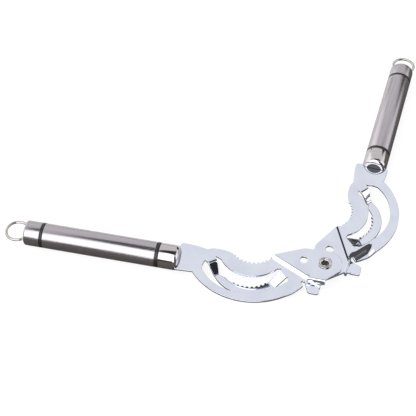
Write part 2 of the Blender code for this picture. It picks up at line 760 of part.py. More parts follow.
def pivot_pieces(finishes, pivot):
    """Tubular eyelet through both wings, flared on top, and rolled over a washer below."""
    right_bottom, left_top = pivot_levels()
    bore = EYELET_BORE / 2
    shank = EYELET_SHANK / 2
    flange = EYELET_FLANGE / 2
    rolled = flange - ROLLED_FLANGE_LESS
    washer_top = right_bottom - GAP
    washer_bottom = washer_top - FLANGE_THICKNESS
    top_seat = left_top + GAP
    top = top_seat + FLANGE_THICKNESS
    low_seat = washer_bottom - GAP
    low = low_seat - FLANGE_THICKNESS
    profile = [
        (low, bore + 0.5), (low, rolled - 0.4), (low + 0.3, rolled), (low_seat, rolled),
        (low_seat, shank), (top_seat, shank), (top_seat, flange), (top - 0.45, flange),
        (top, flange - 0.7), (top, bore + 1.0), (top - 0.7, bore + 0.15), (top - 1.4, bore),
        (low + 0.6, bore),
    ]
    turned("pivot_eyelet", profile, finishes["polished_steel"], pivot, (0.0, 0.0, 0.0), axis="Z")
    washer = ring_profile(washer_bottom, washer_top, WASHER_DIAMETER / 2, shank + PIVOT_CLEARANCE)
    turned("pivot_washer", washer, finishes["zinc_steel"], pivot, (0.0, 0.0, 0.0), axis="Z")


def arm_pieces(side, finishes, arm):
    jaw_plate(side, finishes["jaw_steel"], arm)
    ferrule(side, finishes["polished_steel"], arm)
    tang_pin(side, finishes["zinc_steel"], arm)
    band(side, "front", finishes["black_rubber"], arm)
    handle_tube(side, finishes["brushed_steel"], arm)
    handle_core(side, finishes["core_plastic"], arm)
    tie_rod(side, finishes["zinc_steel"], arm)
    rod_washer(side, finishes["zinc_steel"], arm)
    rod_nut(side, finishes["zinc_steel"], arm)
    band(side, "rear", finishes["black_rubber"], arm)
    rear_cap(side, finishes["brushed_steel"], arm)
    hanging_loop(side, finishes["wire_steel"], arm)


def empty(name, parent=None):
    made = bpy.data.objects.new(name, None)
    bpy.context.scene.collection.objects.link(made)
    made.parent = parent
    return made


def centre_on_table(pivot):
    """Moves the pivot so that the whole tool's footprint is centred on the origin."""
    bpy.context.view_layer.update()
    evaluated = bpy.context.evaluated_depsgraph_get()
    corners = []
    for item in bpy.context.scene.objects:
        if item.type == "EMPTY" or item.hide_render:
            continue
        solid = item.evaluated_get(evaluated)
        mesh = solid.to_mesh()
        corners += [solid.matrix_world @ vert.co for vert in mesh.vertices]
        solid.to_mesh_clear()
    middle_x = (max(c.x for c in corners) + min(c.x for c in corners)) / 2
    middle_y = (max(c.y for c in corners) + min(c.y for c in corners)) / 2
    pivot.location = (round(-middle_x, 6), round(-middle_y, 6), 0.0)
    bpy.context.view_layer.update()


def build():
    clear_scene()
    finishes = make_materials()
    pivot = empty("pivot_axis")
    pivot_pieces(finishes, pivot)
    for side in SIDES:
        arm = empty(side + "_arm_axis", pivot)
        arm.rotation_euler = (0.0, 0.0, math.radians(90.0 + SIDES[side] * OPEN_ANGLE / 2))
        arm_pieces(side, finishes, arm)
    centre_on_table(pivot)
    print("pivot axis at", tuple(pivot.location))


build()
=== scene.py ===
# %% [markdown]
# # A plier-type nutcracker in Blender
#
# The object is a pair of pressed sheet-steel jaws that turn on one eyelet. Each jaw carries a
# handle: a brushed steel tube between two polished ends, with black rings at the joints and a wire
# loop to hang it by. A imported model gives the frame: where every part is, and which parts move
# together. This script keeps those places and makes the surfaces that the eye sees.

# %% Set-up
import json
import math

import bmesh
import bpy
from mathutils import Matrix, Vector
from mathutils.geometry import delaunay_2d_cdt

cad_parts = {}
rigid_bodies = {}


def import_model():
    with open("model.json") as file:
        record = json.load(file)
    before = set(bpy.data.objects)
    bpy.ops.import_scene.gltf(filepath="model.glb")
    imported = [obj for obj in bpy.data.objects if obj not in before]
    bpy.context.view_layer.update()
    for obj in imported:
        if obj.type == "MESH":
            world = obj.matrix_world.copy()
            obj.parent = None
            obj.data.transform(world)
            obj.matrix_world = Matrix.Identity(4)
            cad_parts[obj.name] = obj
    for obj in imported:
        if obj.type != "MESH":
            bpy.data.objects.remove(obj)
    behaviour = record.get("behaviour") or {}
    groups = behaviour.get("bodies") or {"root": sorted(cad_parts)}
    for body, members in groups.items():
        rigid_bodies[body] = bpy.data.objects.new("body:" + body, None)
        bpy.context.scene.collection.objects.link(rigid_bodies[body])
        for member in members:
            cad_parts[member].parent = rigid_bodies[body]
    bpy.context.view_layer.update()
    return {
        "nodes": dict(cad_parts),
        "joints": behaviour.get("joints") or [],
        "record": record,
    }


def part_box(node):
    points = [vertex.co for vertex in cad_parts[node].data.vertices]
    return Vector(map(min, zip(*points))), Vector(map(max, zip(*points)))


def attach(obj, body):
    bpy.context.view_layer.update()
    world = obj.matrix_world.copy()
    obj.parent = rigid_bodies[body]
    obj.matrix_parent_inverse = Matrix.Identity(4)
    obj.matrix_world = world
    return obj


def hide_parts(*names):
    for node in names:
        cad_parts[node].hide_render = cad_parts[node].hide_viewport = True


for leftover in list(bpy.data.objects):
    bpy.data.objects.remove(leftover, do_unlink=True)

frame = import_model()

# %% [markdown]
# ## Two arms, two frames
#
# An arm is easiest to think about on its own: u runs along the handle, v points to the arm's outer
# side, z is up, and the pivot is at zero. The two arms are mirror images, so one design serves both.
# The direction of each arm isn't typed in: it is read from the two black rings on its handle, whose
# middles lie on the handle's axis.

# %% Where the arms are
MM = 0.001
SIDES = {"left": 1.0, "right": -1.0}
PIVOT = Vector(frame["joints"][0]["pos_m"])


def middle_of(node):
    low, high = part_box(node)
    return (Vector(low) + Vector(high)) / 2


def arm_frame(side):
    """Matrix from an arm's own frame, in metres, to the world."""
    along = middle_of(side + "_rear_band") - middle_of(side + "_front_band")
    heading = math.atan2(along.y, along.x)
    return Matrix.Translation((PIVOT.x, PIVOT.y, 0.0)) @ Matrix.Rotation(heading, 4, "Z")


ARMS = {side: arm_frame(side) for side in SIDES}


def span(node, axis=0):
    """Lowest and highest value, in mm, that a CAD node reaches along one axis of its arm."""
    side = "right" if node.startswith("right") else "left"
    to_arm = ARMS[side].inverted()
    values = [(to_arm @ vert.co)[axis] / MM for vert in frame["nodes"][node].data.vertices]
    return min(values), max(values)


TUBE_RADIUS = (span("left_handle_tube", 2)[1] - span("left_handle_tube", 2)[0]) / 2
HANDLE_OFFSET = sum(span("left_handle_tube", 1)) / 2
HANDLE_LEVEL = sum(span("left_handle_tube", 2)) / 2
print(f"handle axis {HANDLE_OFFSET:.2f} mm beside the pivot, {HANDLE_LEVEL:.2f} mm up, "
      f"tube radius {TUBE_RADIUS:.2f} mm")

# %% [markdown]
# ## Camera
#
# The camera looks down on the tool from about 50 degrees, with a long lens, so that the far handle
# is only a little smaller than the near one. Its distance and heading are given round a target on
# the table, beside the pivot.

# %% Camera
CAMERA_ELEVATION = 49.5      # degrees above the table
CAMERA_HEADING = 59.55       # degrees from +X to the horizontal look direction
CAMERA_DISTANCE = 0.847
LENS = 98.7                  # mm on a 36 mm sensor
TARGET_BESIDE_PIVOT = Vector((-0.0393, 0.0947, 0.0))

look = Vector((math.cos(math.radians(CAMERA_HEADING)), math.sin(math.radians(CAMERA_HEADING)), 0.0))
target = Vector((PIVOT.x, PIVOT.y, 0.0)) + TARGET_BESIDE_PIVOT
back_off = -look * math.cos(math.radians(CAMERA_ELEVATION))
back_off.z = math.sin(math.radians(CAMERA_ELEVATION))
lens_data = bpy.data.cameras.new("camera")
lens_data.lens = LENS
lens_data.sensor_width = 36.0
lens_data.clip_start = 0.01
camera = bpy.data.objects.new("camera", lens_data)
camera.location = target + back_off * CAMERA_DISTANCE
camera.rotation_euler = (target - camera.location).to_track_quat("-Z", "Y").to_euler()
bpy.context.scene.collection.objects.link(camera)
bpy.context.scene.camera = camera
bpy.context.scene.view_settings.view_transform = "Standard"
print("camera at", [round(value, 3) for value in camera.location])

# %% [markdown]
# ## Nodes and colours
#
# Colours are written as sRGB hex, the way a paint programme shows them, and one function turns them
# into the linear values that light is added up in. One more function adds a shader node, sets its
# values and links its inputs.

# %% Colour and node helpers
def linear(hex_colour):
    """sRGB hex, such as "d4d8e1", to a linear RGBA colour."""
    channels = [int(hex_colour[index:index + 2], 16) / 255 for index in (0, 2, 4)]
    return tuple(c / 12.92 if c <= 0.04045 else ((c + 0.055) / 1.055) ** 2.4 for c in channels) + (1.0,)


def add_node(tree, kind, settings=None, **links):
    """Adds a node. Settings starting with a capital are sockets, others are the node's properties."""
    node = tree.nodes.new(kind)
    for key, value in (settings or {}).items():
        if key[0].isupper():
            node.inputs[key].default_value = value
        else:
            setattr(node, key, value)
    for key, source in links.items():
        socket = int(key[1:]) if key[0] == "i" and key[1:].isdigit() else key.replace("_", " ")
        tree.links.new(source, node.inputs[socket])
    return node


def shade_between(tree, factor, first, second):
    """A colour between two hex colours."""
    mix = add_node(tree, "ShaderNodeMix", {"data_type": "RGBA"})
    tree.links.new(factor, mix.inputs[0])
    mix.inputs[6].default_value = linear(first)
    mix.inputs[7].default_value = linear(second)
    return mix.outputs[2]


# %% [markdown]
# ## The studio
#
# Polished steel has no colour of its own worth speaking of: it shows what stands round it. So the
# light is designed as a photographer would do it: a pale tent with a hole at the top, a large softbox
# beside the camera, black cards for the dark facets, and one white card on the right. All of it is
# painted on the world by direction, later patches over earlier ones, so that nothing stands in the
# way of another view.

# %% The tent, the softbox and the flags
def smooth_between(tree, value, start, end):
    """0 below start, 1 above end, and smooth between. Start may be the larger of the two."""
    node = add_node(tree, "ShaderNodeMapRange", {"interpolation_type": "SMOOTHSTEP"}, Value=value)
    node.inputs["From Min"].default_value = start
    node.inputs["From Max"].default_value = end
    return node.outputs["Result"]


def times(tree, first, second):
    return add_node(tree, "ShaderNodeMath", {"operation": "MULTIPLY"}, i0=first, i1=second).outputs[0]


world = bpy.data.worlds.new("studio")
world.use_nodes = True
tent = world.node_tree
tent.nodes.clear()
direction = add_node(tent, "ShaderNodeTexCoord").outputs["Generated"]
# Turned so that azimuth 90 is straight ahead of the camera and 0 is its right.
turned_direction = add_node(tent, "ShaderNodeVectorRotate", {"rotation_type": "Z_AXIS"}, Vector=direction)
turned_direction.inputs["Angle"].default_value = math.radians(90.0 - CAMERA_HEADING)
parts = add_node(tent, "ShaderNodeSeparateXYZ", Vector=turned_direction.outputs[0])
azimuth = add_node(tent, "ShaderNodeMath", {"operation": "ARCTAN2"},
                   i0=parts.outputs["Y"], i1=parts.outputs["X"])
azimuth = add_node(tent, "ShaderNodeMath", {"operation": "DEGREES"}, i0=azimuth.outputs[0]).outputs[0]
elevation = add_node(tent, "ShaderNodeMath", {"operation": "ARCSINE"}, i0=parts.outputs["Z"])
elevation = add_node(tent, "ShaderNodeMath", {"operation": "DEGREES"}, i0=elevation.outputs[0]).outputs[0]

# (what it is, azimuths, elevations, softness in degrees, strength)
STUDIO = [
    ("gap above the table", (-400, 400), (-90, 5), 4, 0.07),
    ("left wall of the tent", (115, 400), (-12, 42), 6, 1.65),
    ("left wall, behind the camera", (-400, -158), (-12, 42), 6, 1.65),
    ("right wall of the tent", (5, 32), (5, 34), 5, 1.30),
    ("black flag", (38, 68), (-90, 29), 5, 0.04),
    ("hole at the top of the tent", (-400, 400), (69, 400), 5, 0.06),
    ("right-hand part of the hole", (-34, 50), (51, 400), 4, 0.09),
    ("softbox beside the camera", (-156, -78), (5, 74), 5, 2.70),
    ("black strip, low in front", (-130, -105), (-90, 13), 4, 0.03),
    ("black card, front right", (-74, -39), (-90, 50), 4, 0.03),
    ("white card, right", (-37, 4), (-10, 45), 4, 1.80),
]
bare_wall = add_node(tent, "ShaderNodeRGB")
bare_wall.outputs[0].default_value = (1.0, 1.0, 1.0, 1.0)
radiance = bare_wall.outputs[0]
for title, azimuths, elevations, soft, strength in STUDIO:
    half = soft / 2
    slopes = [(elevation, elevations[0] - half, elevations[0] + half),
              (elevation, elevations[1] + half, elevations[1] - half)]
    if azimuths[0] > -360:
        slopes.append((azimuth, azimuths[0] - half, azimuths[0] + half))
    if azimuths[1] < 360:
        slopes.append((azimuth, azimuths[1] + half, azimuths[1] - half))
    inside_patch = smooth_between(tent, *slopes[0])
    for slope in slopes[1:]:
        inside_patch = times(tent, inside_patch, smooth_between(tent, *slope))
    mix = add_node(tent, "ShaderNodeMix", {"data_type": "RGBA", "label": title, "clamp_factor": True})
    tent.links.new(inside_patch, mix.inputs[0])
    tent.links.new(radiance, mix.inputs[6])
    mix.inputs[7].default_value = (strength, strength, strength, 1.0)
    radiance = mix.outputs[2]
glow = add_node(tent, "ShaderNodeBackground", Color=radiance)
add_node(tent, "ShaderNodeOutputWorld", Surface=glow.outputs[0])
bpy.context.scene.world = world
print(len(STUDIO), "patches of light and dark painted on the world")

# %% [markdown]
# ## The table
#
# A plain pale surface. A product shot is often lit from below as well, through a translucent table,
# so that it burns out to white in the picture. What the steel mirrors is painted instead: a grey
# table, which is painted shade, with painted light, white, between the two arms. The Light Path
# node says which of the two a ray sees. A little real shadow is left at the contacts.

# %% Table
TABLE_HALF_WIDTH = 6.0
TABLE_DROP = 0.0002          # just under the tool, so that the two never share a plane
TABLE_PAINTED_SHADE = "726f6b"        # painted shade: the grey that the steel mirrors outside the V
PAINTED_LIGHT_WHITE = "f4f2f0"       # painted light: the white it mirrors inside the V, as if lit from both arms
TABLE_GLOW = 0.84
LIGHT_POOL_REACH = 0.012          # how far the painted light's soft edge reaches past the line of an arm
LIGHT_POOL_SOLID = -0.008         # and where the painted light is fully white
table_shader = bpy.data.materials.new("table")
table_shader.use_nodes = True
tree = table_shader.node_tree
tree.nodes.clear()
place = add_node(tree, "ShaderNodeTexCoord").outputs["Object"]
from_pivot = add_node(tree, "ShaderNodeVectorMath", {"operation": "SUBTRACT"}, i0=place)
from_pivot.inputs[1].default_value = tuple(PIVOT)
# A mask for the painted pool of light between the two arms.
lit_patch_mask = None
for side, sign in SIDES.items():
    outer_side = ARMS[side].to_3x3() @ Vector((0.0, sign, 0.0))
    beside = add_node(tree, "ShaderNodeVectorMath", {"operation": "DOT_PRODUCT"}, i0=from_pivot.outputs[0])
    beside.inputs[1].default_value = tuple(outer_side)
    inside_arm = smooth_between(tree, beside.outputs["Value"], LIGHT_POOL_REACH, LIGHT_POOL_SOLID)
    lit_patch_mask = times(tree, lit_patch_mask, inside_arm) if lit_patch_mask else inside_arm
# Seen only in reflections: painted shade outside the V, painted light inside it.
mirrored = add_node(tree, "ShaderNodeBsdfDiffuse",
                    Color=shade_between(tree, lit_patch_mask, TABLE_PAINTED_SHADE, PAINTED_LIGHT_WHITE))
lit_from_below = add_node(tree, "ShaderNodeEmission", {"Color": linear("ffffff"), "Strength": TABLE_GLOW})
shaded = add_node(tree, "ShaderNodeBsdfDiffuse", {"Color": (0.2, 0.2, 0.2, 1.0)})
seen = add_node(tree, "ShaderNodeAddShader", i0=lit_from_below.outputs[0], i1=shaded.outputs[0])
ray = add_node(tree, "ShaderNodeLightPath")
either = add_node(tree, "ShaderNodeMixShader", i0=ray.outputs["Is Camera Ray"],
                  i1=mirrored.outputs[0], i2=seen.outputs[0])
add_node(tree, "ShaderNodeOutputMaterial", Surface=either.outputs[0])

table_mesh = bpy.data.meshes.new("table")
corners = [(-1, -1), (1, -1), (1, 1), (-1, 1)]
table_mesh.from_pydata([(x * TABLE_HALF_WIDTH, y * TABLE_HALF_WIDTH, -TABLE_DROP) for x, y in corners],
                       [], [(0, 1, 2, 3)])
table_mesh.materials.append(table_shader)
table = bpy.data.objects.new("table", table_mesh)
bpy.context.scene.collection.objects.link(table)
print("the table is", 2 * TABLE_HALF_WIDTH, "metres wide")

# %% [markdown]
# ## Finishes
#
# Each finish starts from what the real one is. Metals keep Blender's default IOR, because a metallic
# surface takes its reflection from its base colour. Textures use the place in the arm's own frame,
# in metres, which each piece stores as "arm_place", so u is always along the handle. A scale of 1000
# divided by a size in mm gives a pattern of that size. The CAD solids that stay visible have no such
# attribute and use their object coordinates.

# %% Material helpers
def new_finish(name, metal=False, on_solids=False):
    """A material with its tree, shader and coordinates: the arm's own, or a CAD solid's."""
    made = bpy.data.materials.new(name)
    made.use_nodes = True
    tree = made.node_tree
    shader = tree.nodes["Principled BSDF"]
    shader.inputs["Metallic"].default_value = float(metal)
    if on_solids:
        coordinates = add_node(tree, "ShaderNodeTexCoord").outputs["Object"]
    else:
        stored = add_node(tree, "ShaderNodeAttribute", {"attribute_name": "arm_place"})
        coordinates = stored.outputs["Vector"]
    return made, tree, shader, coordinates


def pattern(tree, coordinates, size_mm, stretch=(1.0, 1.0, 1.0), detail=2.0):
    """Noise of a given size in mm, drawn out along an axis where stretch is under 1."""
    scale = add_node(tree, "ShaderNodeMapping", {"Scale": stretch}, Vector=coordinates)
    return add_node(tree, "ShaderNodeTexNoise", {"Scale": 1000 / size_mm, "Detail": detail},
                    Vector=scale.outputs[0]).outputs["Fac"]


def spread(tree, value, low, high):
    """Turns noise, which stays near 0.5, into a value from low to high."""
    node = add_node(tree, "ShaderNodeMapRange", Value=value)
    node.inputs["From Min"].default_value = 0.3
    node.inputs["From Max"].default_value = 0.7
    node.inputs["To Min"].default_value = low
    node.inputs["To Max"].default_value = high
    return node.outputs["Result"]


def add_bump(tree, shader, height, depth_mm):
    bump = add_node(tree, "ShaderNodeBump", {"Strength": 1.0, "Distance": depth_mm * MM}, Height=height)
    tree.links.new(bump.outputs["Normal"], shader.inputs["Normal"])


# %% [markdown]
# ### Polished stainless sheet, for the jaws
#
# Rolled stainless sheet, blanked and pressed, then tumbled until it shines. Tumbling leaves soft
# clouds in the gloss and hair-fine scratches in every direction, and the rolled grain still shows
# faintly along the blank. The bluish tint in the base colour is a painted reflection: the tent is
# white, and the blue that the polished sheet mirrors is painted into the steel's own colour.

# %% Sheet finish
def sheet_finish():
    made, tree, shader, coordinates = new_finish("polished stainless sheet", metal=True)
    clouds = pattern(tree, coordinates, 14.0)
    grain = pattern(tree, coordinates, 0.9, stretch=(0.06, 1.0, 1.0), detail=4.0)
    gloss = add_node(tree, "ShaderNodeMath", {"operation": "ADD"}, i0=spread(tree, clouds, 0.03, 0.07),
                     i1=spread(tree, grain, 0.0, 0.03))
    tree.links.new(gloss.outputs[0], shader.inputs["Roughness"])
    # Base colour: the steel's own, with a blue painted reflection tint.
    tree.links.new(shade_between(tree, spread(tree, clouds, 0.0, 1.0), "d2d6e4", "dadee9"),
                   shader.inputs["Base Color"])
    add_bump(tree, shader, grain, 0.0006)
    return made


# %% [markdown]
# ### Satin stainless tube, for the handles
#
# The tube is ground with a belt that runs along it, so the scratches are long and thin. They spread
# a reflection across the tube but hardly along it, which is what turns the softbox into a clean
# stripe with soft edges. The real scratches are about 0.05 mm wide; here they are 0.5 mm, so that
# they still show.

# %% Tube finish
def tube_finish():
    made, tree, shader, coordinates = new_finish("satin stainless tube", metal=True)
    scratches = pattern(tree, coordinates, 0.5, stretch=(0.02, 1.0, 1.0), detail=5.0)
    tree.links.new(shade_between(tree, spread(tree, scratches, 0.0, 1.0), "a8a3a8", "b6b1b6"),
                   shader.inputs["Base Color"])
    tree.links.new(spread(tree, scratches, 0.20, 0.28), shader.inputs["Roughness"])
    add_bump(tree, shader, scratches, 0.002)
    return made


# %% [markdown]
# ### Mirror-polished steel, for the ferrules, caps and the eyelet
#
# These small turned pieces are buffed on a wheel. They mirror the room sharply, with only a trace
# of the turning marks that run round them.

# %% Polished finish
def polished_finish(name, first, second, rough):
    made, tree, shader, coordinates = new_finish(name, metal=True)
    marks = pattern(tree, coordinates, 0.4, stretch=(1.0, 0.05, 0.05), detail=3.0)
    tree.links.new(shade_between(tree, spread(tree, marks, 0.0, 1.0), first, second),
                   shader.inputs["Base Color"])
    tree.links.new(spread(tree, marks, rough, rough + 0.04), shader.inputs["Roughness"])
    return made


# %% [markdown]
# ### Nitrile rubber, zinc plate and moulded plastic
#
# The rings are black nitrile rubber: nearly no diffuse colour, a broad soft sheen, and a fine
# moulded grain. The fastenings that the handles hide are zinc plated, and the filler is black
# polypropylene.

# %% Other finishes
def rubber_finish():
    made, tree, shader, coordinates = new_finish("nitrile rubber")
    grain = pattern(tree, coordinates, 0.35, detail=3.0)
    tree.links.new(shade_between(tree, spread(tree, grain, 0.0, 1.0), "171412", "221e1b"),
                   shader.inputs["Base Color"])
    shader.inputs["Roughness"].default_value = 0.46
    shader.inputs["IOR"].default_value = 1.52
    add_bump(tree, shader, grain, 0.01)
    return made


def zinc_finish():
    made, tree, shader, coordinates = new_finish("zinc plated steel", metal=True, on_solids=True)
    spangle = pattern(tree, coordinates, 1.2, detail=3.0)
    tree.links.new(shade_between(tree, spread(tree, spangle, 0.0, 1.0), "9c9d9c", "b4b4b0"),
                   shader.inputs["Base Color"])
    tree.links.new(spread(tree, spangle, 0.28, 0.42), shader.inputs["Roughness"])
    return made


def filler_finish():
    made, tree, shader, coordinates = new_finish("black polypropylene", on_solids=True)
    texture = pattern(tree, coordinates, 0.6, detail=3.0)
    tree.links.new(shade_between(tree, texture, "2a2a2a", "343434"), shader.inputs["Base Color"])
    shader.inputs["Roughness"].default_value = 0.55
    shader.inputs["IOR"].default_value = 1.49
    add_bump(tree, shader, texture, 0.01)
    return made


# Glossy black for the ferrules' end faces: a painted dark reflection, standing in for the dark that a steel
# end face mirrors.
def dark_end_face_finish():
    made, tree, shader, coordinates = new_finish("black end face, painted dark reflection")
    texture = pattern(tree, coordinates, 0.8, detail=3.0)
    tree.links.new(shade_between(tree, texture, "0c0b0b", "171515"), shader.inputs["Base Color"])
    tree.links.new(spread(tree, texture, 0.10, 0.22), shader.inputs["Roughness"])
    shader.inputs["IOR"].default_value = 1.50
    add_bump(tree, shader, texture, 0.02)
    return made


FINISHES = {
    "jaw_steel": sheet_finish(),
    "brushed_steel": tube_finish(),
    "polished_steel": polished_finish("buffed steel", "b6b1b4", "c3bfc1", 0.07),
    "wire_steel": polished_finish("drawn wire", "b9b4b0", "c8c4c0", 0.08),
    "black_rubber": rubber_finish(),
    "zinc_steel": zinc_finish(),
    "core_plastic": filler_finish(),
}
SLOT_OF = {part["node"]: part["material_slot"] for part in frame["record"]["subparts"]}
for node, solid in frame["nodes"].items():
    solid.data.materials.clear()
    solid.data.materials.append(FINISHES[SLOT_OF[node]])
print(len(FINISHES), "finishes on", len(frame["nodes"]), "nodes")

# %% [markdown]
# ## Placing a piece
#
# Every piece is made in its arm's frame, in mm, and stands for one CAD node: it rides on the same
# body, and the plain solid is hidden behind it.

# %% From a mesh to a piece
BODY_OF = {}
for body, members in frame["record"]["behaviour"]["bodies"].items():
    for member in members:
        BODY_OF[member] = body


def keep_arm_place(mesh):
    """Stores each point's place in its arm's frame, which the finishes use as coordinates."""
    places = mesh.attributes.new("arm_place", "FLOAT_VECTOR", "POINT")
    for vert, place in zip(mesh.vertices, places.data):
        place.vector = vert.co


def stand_for(node, shape, smooth_angle=40):
    """Turns a bmesh in mm, in its arm's frame, into the visible piece for a CAD node."""
    mirror = node.startswith("right")
    side = "right" if mirror else "left"
    bmesh.ops.scale(shape, vec=(MM, MM * (-1.0 if mirror else 1.0), MM), verts=shape.verts)
    if mirror:
        bmesh.ops.reverse_faces(shape, faces=shape.faces)
    mesh = bpy.data.meshes.new(node + "_shown")
    shape.to_mesh(mesh)
    shape.free()
    mesh.shade_smooth()
    mesh.set_sharp_from_angle(angle=math.radians(smooth_angle))
    mesh.materials.append(FINISHES[SLOT_OF[node]])
    keep_arm_place(mesh)
    mesh.transform(ARMS[side])
    piece = bpy.data.objects.new(node + "_shown", mesh)
    bpy.context.scene.collection.objects.link(piece)
    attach(piece, BODY_OF[node])
    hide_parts(node)
    return piece


# %% [markdown]
# ## Outlines
#
# A pressed part starts as a flat blank, so the jaw starts as an outline. Long stretches are arcs,
# teeth are a function of an arc, and every corner is rounded to a radius, because a punch never
# cuts a perfectly sharp one.

# %% Arcs, teeth and rounded corners
def arc(circle, start, end, count):
    """Points on a circle (centre u, centre v, radius) from one angle to another, in degrees."""
    centre_u, centre_v, radius = circle
    points = []
    for index in range(count + 1):
        angle = math.radians(start + (end - start) * index / count)
        points.append((centre_u + radius * math.cos(angle), centre_v + radius * math.sin(angle)))
    return points


def angle_on(circle, point):
    return math.degrees(math.atan2(point[1] - circle[1], point[0] - circle[0]))


def toothed_arc(circle, start, end, count, depth):
    """An arc cut into teeth whose tips point to the circle's centre."""
    tip = (circle[0], circle[1], circle[2] - depth)
    pitch = (end - start) / count
    points = []
    for index in range(count):
        foot = start + pitch * index
        points += arc(circle, foot, foot + 0.30 * pitch, 1)
        points += arc(tip, foot + 0.52 * pitch, foot + 0.80 * pitch, 1)
    points.append(arc(circle, end, end, 1)[0])
    return points


def rounded(points, radius, steps=4, least_turn=14.0):
    """Rounds each corner of a closed outline that turns by more than least_turn degrees."""
    result = []
    count = len(points)
    for index in range(count):
        before = Vector(points[index - 1])
        corner = Vector(points[index])
        after = Vector(points[(index + 1) % count])
        into = (corner - before).normalized()
        out = (after - corner).normalized()
        turn = math.acos(max(-1.0, min(1.0, into.dot(out))))
        if math.degrees(turn) < least_turn:
            result.append(tuple(corner))
            continue
        room = 0.45 * min((corner - before).length, (after - corner).length)
        cut_back = min(room, radius * math.tan(turn / 2))
        first = corner - into * cut_back
        last = corner + out * cut_back
        for step in range(steps + 1):
            share = step / steps
            # A quadratic curve from first to last that is tangent to both sides.
            result.append(tuple(first * (1 - share) ** 2 + corner * 2 * share * (1 - share)
                                + last * share ** 2))
    return result


def filled_in(points, spacing):
    """Adds points on long straight stretches, so that a bend can pass through them."""
    points = [point for index, point in enumerate(points) if math.dist(point, points[index - 1]) > 0.05]
    result = []
    for index, point in enumerate(points):
        following = points[(index + 1) % len(points)]
        length = math.dist(point, following)
        pieces = max(1, math.ceil(length / spacing))
        for step in range(pieces):
            share = step / pieces
            result.append((point[0] + (following[0] - point[0]) * share,
                           point[1] + (following[1] - point[1]) * share))
    return result


def inset(points, distance):
    """Moves a closed outline towards its left side, which is inwards if it runs anticlockwise."""
    result = []
    count = len(points)
    for index in range(count):
        into = (Vector(points[index]) - Vector(points[index - 1])).normalized()
        out = (Vector(points[(index + 1) % count]) - Vector(points[index])).normalized()
        inward = Vector((-into.y - out.y, into.x + out.x)).normalized()
        stretch = 1 / max(0.5, inward.dot(Vector((-into.y, into.x))))
        result.append((points[index][0] + inward.x * distance * stretch,
                       points[index][1] + inward.y * distance * stretch))
    return result


def contains(polygon, point):
    """Even-odd test of a point against a closed outline."""
    u, v = point
    hit = False
    previous = polygon[-1]
    for current in polygon:
        if (current[1] > v) != (previous[1] > v):
            if u < current[0] + (previous[0] - current[0]) * (v - current[1]) / (previous[1] - current[1]):
                hit = not hit
        previous = current
    return hit


def away_from(polygon, point):
    """Distance from a point to the nearest side of a closed outline."""
    nearest = 1e9
    previous = polygon[-1]
    for current in polygon:
        side_u, side_v = current[0] - previous[0], current[1] - previous[1]
        length2 = side_u * side_u + side_v * side_v or 1e-12
        share = ((point[0] - previous[0]) * side_u + (point[1] - previous[1]) * side_v) / length2
        share = max(0.0, min(1.0, share))
        nearest = min(nearest, math.hypot(point[0] - previous[0] - side_u * share,
                                          point[1] - previous[1] - side_v * share))
        previous = current
    return nearest


def distance_past(line, point):
    """Signed distance of a point from a line, positive to the left of its direction."""
    (start_u, start_v), (end_u, end_v) = line
    length = math.hypot(end_u - start_u, end_v - start_v)
    return ((end_u - start_u) * (point[1] - start_v) - (end_v - start_v) * (point[0] - start_u)) / length


# %% [markdown]
# ## The jaw blank
#
# The outer edge is one long arc from the neck to the pivot. On the inner side are the teeth, a
# shallow wave, and the corner beside the handle. At the pivot is the wing, which carries the eyelet
# and a small hole, and beside it a tab.

# %% Jaw outline
SHEET = 1.6
TANG_LENGTH = 21.4
NECK_END = span("left_jaw_plate")[1] - TANG_LENGTH    # where the tang starts
SHOULDER_AT = 88.6
OUTER_ARC = (52.6, -6.4, 48.1)                        # centre u, centre v, radius
TOOTH_ARC = (51.9, -9.4, 18.1)
TOOTH_DEPTH = 1.3
TOOTH_COUNT = 9
CRESCENT_INNER = (52.1, -4.7, 24.4)
CRESCENT_OUTER = (55.5, 0.5, 34.7)
TONGUE_CENTRE = (53.0, 3.2)
TONGUE_INNER = 20.9
TONGUE_OUTER = 26.9
TONGUE_FLAT = (36.2, 137.5)                           # degrees round the tongue's centre
WING_RADIUS = 12.0
STEP_TIP = (38.2, 0.7)
STEP_FOOT = (12.0, 14.3)
STEP_RUN = 2.2
TAB_SIDE = -2.3
TAB_FOLD_AT = 14.3
TAB_FLANGE_RUN = 1.5
TAB_DROP = 3.0
TAB_TIP_AT = 24.8
SLIT_POINT = (13.3, 16.3)
STRIP_TURN = (34.0, 28.7)
STRIP_CREASE_END = (23.0, 31.9)
STRIP_EDGE_END = (18.0, 16.7)
STRIP_RUN = 6.0
STRIP_DROP = {"left": 0.8, "right": 2.6}


